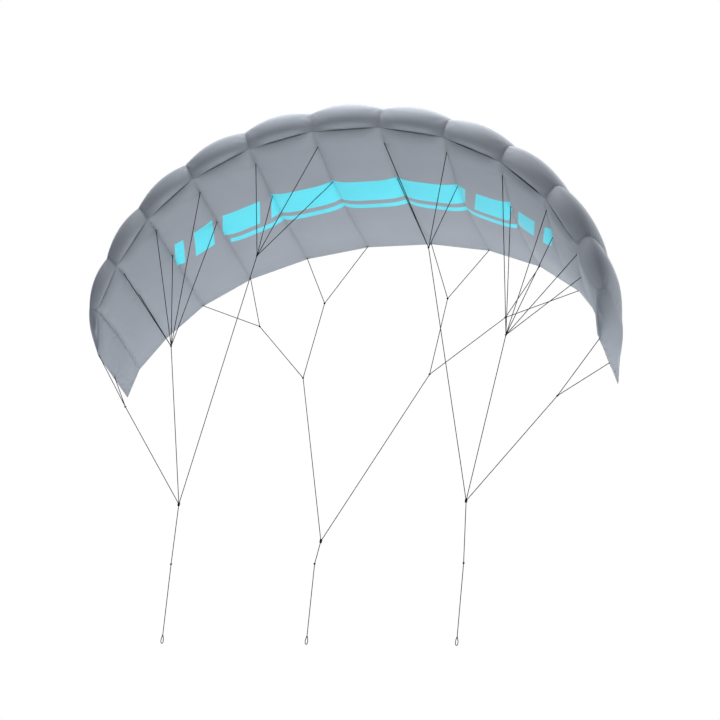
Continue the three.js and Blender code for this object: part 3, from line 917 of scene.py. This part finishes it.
printed_cloth = ripstop_nylon("printed_ripstop_nylon", bars)
lower_rows = hem_rows(LOWER_STEPS, HEM_WIDTH / chord.mean(), HEM_WIDTH / chord.mean())
for cell in range(CELLS):
    add_skin(cell, False, lower_rows, printed_cloth)


# Upper skin. Thirteen plain panels of the same ripstop, swollen by the air, run from the trailing edge
# over the crest and round the nose to the intake's upper lip. They are hemmed there and at the
# trailing edge, and sewn to the ribs and to the lower panels.
UPPER_STEPS = 112
# Shares of the way that the hems take, at the trailing edge and at the lip.
UPPER_HEMS = (0.006, 0.03)

plain_cloth = ripstop_nylon("ripstop_nylon")
upper_rows = hem_rows(UPPER_STEPS, *UPPER_HEMS)
for cell in range(CELLS):
    add_skin(cell, True, upper_rows, plain_cloth)


# Studio. A plain pale floor lies far below the kite, from under its nose backwards, under a soft sun.
# Soft square lamps stand above the middle of the nose, low behind on the right, and right below. The
# air is brighter behind, and the camera sees it white.
FLOOR_Z = -9.0
FLOOR_LEFT = -10.0
FLOOR_RIGHT = 60.0
FLOOR_FRONT = -2.0
FLOOR_BACK = 60.0
FLOOR_COLOUR = "#f4f4f2"
SUN_FROM = Vector((-0.20, 0.30, 0.93))
SUN_STRENGTH = 1.4
SUN_SPREAD = math.radians(22)
# Strength of the air all round, and how much more there is along each axis.
AIR_LEVEL = 0.30
AIR_LEAN = (0.0, 1.12, 0.0)
AIR_COLOUR = (0.93, 0.985, 1.07, 1.0)
# Place, the point it is aimed at, side and power of each square lamp.
LAMPS = {
    "nose_lamp": {"place": (-0.10, -1.60, 3.60), "aim": (0.0, -0.35, 1.95), "side": 1.2, "power": 82},
    "right_lamp": {"place": (2.20, 1.60, -0.80), "aim": (0.0, 0.0, 1.80), "side": 1.5, "power": 47},
    "under_lamp": {"place": (0.20, 0.00, -1.50), "aim": (0.0, 0.0, 1.80), "side": 1.5, "power": 34},
}

floor_mesh = bpy.data.meshes.new("floor")
floor_mesh.from_pydata(
    [
        (FLOOR_LEFT, FLOOR_FRONT, FLOOR_Z),
        (FLOOR_RIGHT, FLOOR_FRONT, FLOOR_Z),
        (FLOOR_RIGHT, FLOOR_BACK, FLOOR_Z),
        (FLOOR_LEFT, FLOOR_BACK, FLOOR_Z),
    ],
    [],
    [(0, 1, 2, 3)],
)
floor = bpy.data.objects.new("floor", floor_mesh)
bpy.context.scene.collection.objects.link(floor)
floor_paint = new_material("pale_matt_floor_paint")
paint = add_node(
    floor_paint.node_tree, "ShaderNodeBsdfPrincipled", {"Base Color": linear(FLOOR_COLOUR), "Roughness": 0.9}
)
add_node(floor_paint.node_tree, "ShaderNodeOutputMaterial", {0: paint.outputs[0]})
floor_mesh.materials.append(floor_paint)

sun = bpy.data.objects.new("sun", bpy.data.lights.new("sun", "SUN"))
sun.data.energy = SUN_STRENGTH
sun.data.angle = SUN_SPREAD
sun.rotation_euler = SUN_FROM.to_track_quat("Z", "Y").to_euler()
bpy.context.scene.collection.objects.link(sun)

for name, given in LAMPS.items():
    lamp = bpy.data.objects.new(name, bpy.data.lights.new(name, "AREA"))
    lamp.data.energy = given["power"]
    lamp.data.size = given["side"]
    lamp.location = given["place"]
    from_aim = Vector(given["place"]) - Vector(given["aim"])
    lamp.rotation_euler = from_aim.to_track_quat("Z", "Y").to_euler()
    lamp.visible_camera = False
    bpy.context.scene.collection.objects.link(lamp)

world = bpy.data.worlds.new("studio")
world.use_nodes = True
bpy.context.scene.world = world
air = world.node_tree
air.nodes.clear()
direction = add_node(air, "ShaderNodeTexCoord").outputs["Generated"]
lean = add_node(air, "ShaderNodeVectorMath", {0: direction, 1: AIR_LEAN}, operation="DOT_PRODUCT")
glow = add_node(air, "ShaderNodeMath", {0: lean.outputs["Value"], 1: 0.0}, operation="MAXIMUM")
strength = add_node(air, "ShaderNodeMath", {0: glow.outputs[0], 1: AIR_LEVEL}, operation="ADD")
soft_light = add_node(air, "ShaderNodeBackground", {"Color": AIR_COLOUR, "Strength": strength.outputs[0]})
backdrop = add_node(air, "ShaderNodeBackground", {"Color": (1, 1, 1, 1), "Strength": 1.0})
seen = add_node(air, "ShaderNodeLightPath").outputs["Is Camera Ray"]
shown = add_node(air, "ShaderNodeMixShader", {0: seen, 1: soft_light.outputs[0], 2: backdrop.outputs[0]})
add_node(air, "ShaderNodeOutputWorld", {0: shown.outputs[0]})
bpy.context.scene.view_settings.view_transform = "Standard"
